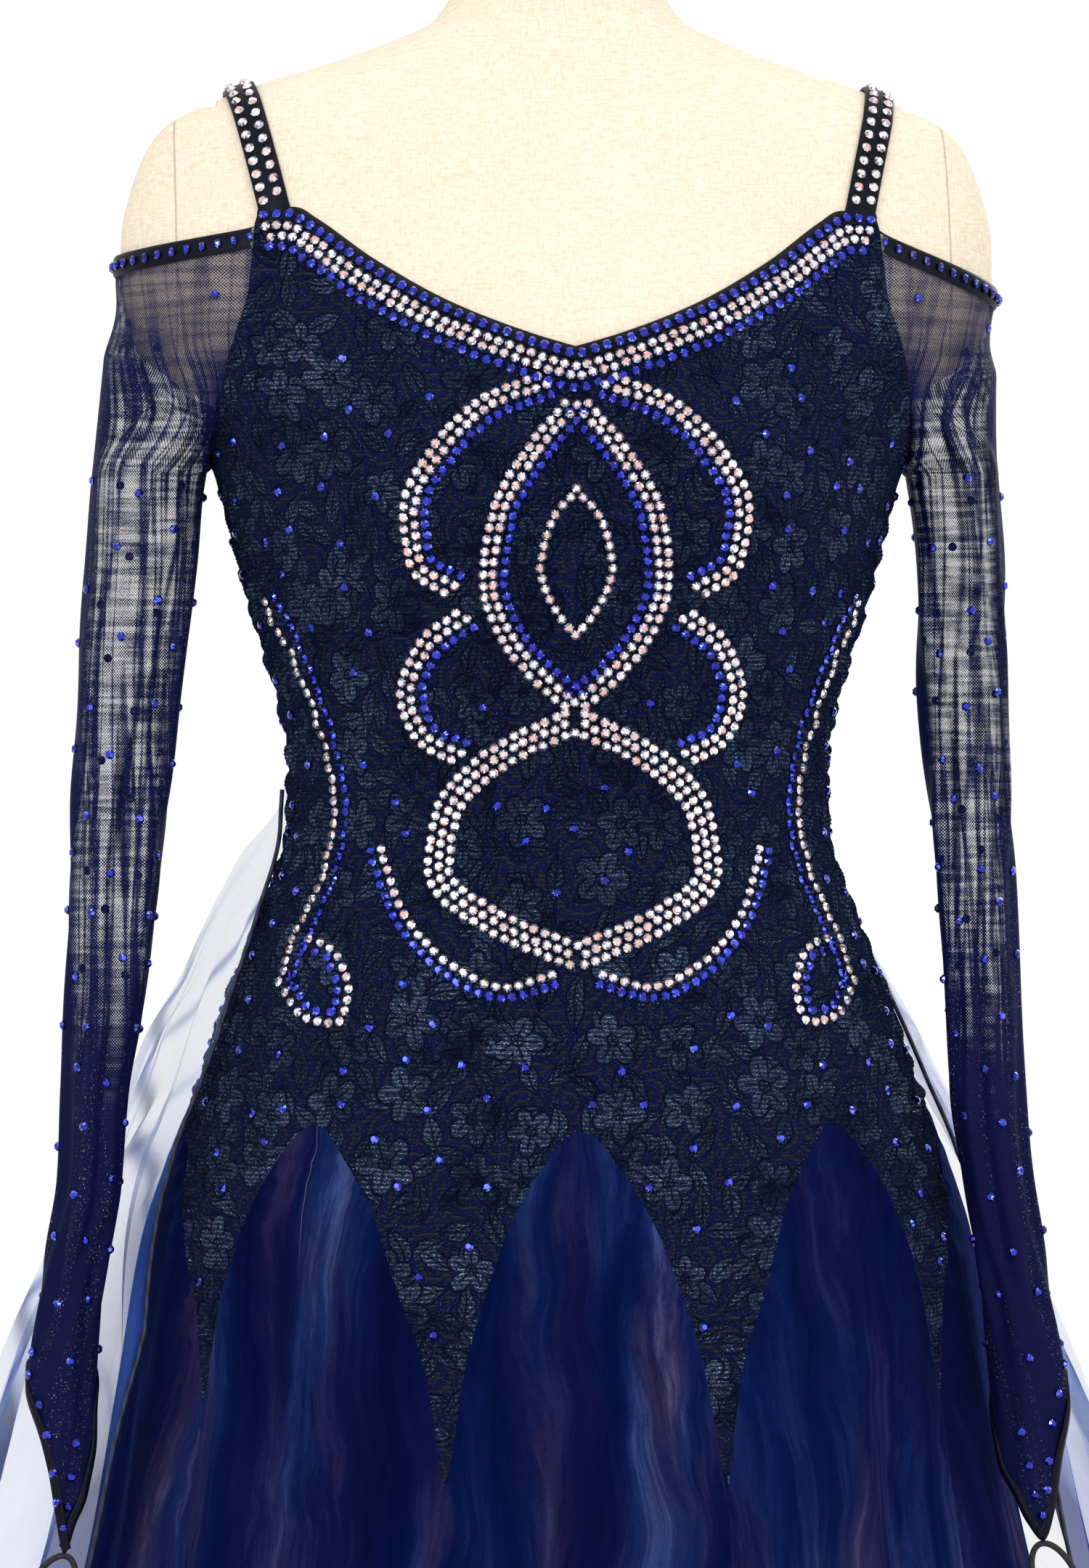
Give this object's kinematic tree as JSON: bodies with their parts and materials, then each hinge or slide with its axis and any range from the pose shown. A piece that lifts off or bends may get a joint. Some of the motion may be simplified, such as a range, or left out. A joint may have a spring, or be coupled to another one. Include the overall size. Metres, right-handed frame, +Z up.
{
  "type": "maxi dress on a limbless dress form",
  "caption": "Fitted off-shoulder ballroom maxi dress with mesh sleeves, zigzag godet skirt and sheer floats, on a limbless dress form with a round stand.",
  "frame": {"origin": "centre of the stand base's underside, on the floor", "axes": "+Z up along the stand's pole, the dress's front faces -Y, +X is on the viewer's right as they face the front"},
  "size_m": [1.0655, 0.919, 1.52],
  "materials": {
    "lace": "navy stretch lace with a metallic thread on a dark lining",
    "organza": "navy organza over satin, soft streaky sheen",
    "sheer": "sheer blue organza",
    "mesh": "navy stretch mesh, see-through",
    "satin": "dark navy stretch satin",
    "elastic": "black round elastic",
    "linen": "natural linen cover, matt",
    "painted_steel": "satin black"
  },
  "bodies": {
    "root": {"form_torso": "linen", "form_cap_left": "linen", "form_cap_right": "linen", "stand_pole": "painted_steel", "stand_base": "painted_steel", "bodice_front": "lace", "bodice_back": "lace", "neck_binding_front": "satin", "neck_binding_back": "satin", "strap_left": "satin", "strap_right": "satin", "sleeve_left": "mesh", "sleeve_right": "mesh", "sleeve_band_left": "satin", "sleeve_band_right": "satin", "cuff_binding_left": "satin", "cuff_binding_right": "satin", "finger_loop_left": "elastic", "finger_loop_right": "elastic", "godet_1": "organza", "godet_2": "organza", "godet_3": "organza", "godet_4": "organza", "godet_5": "organza", "godet_6": "organza", "godet_7": "organza", "godet_8": "organza", "float_left": "sheer", "float_right": "sheer"}
  },
  "joints": []
}
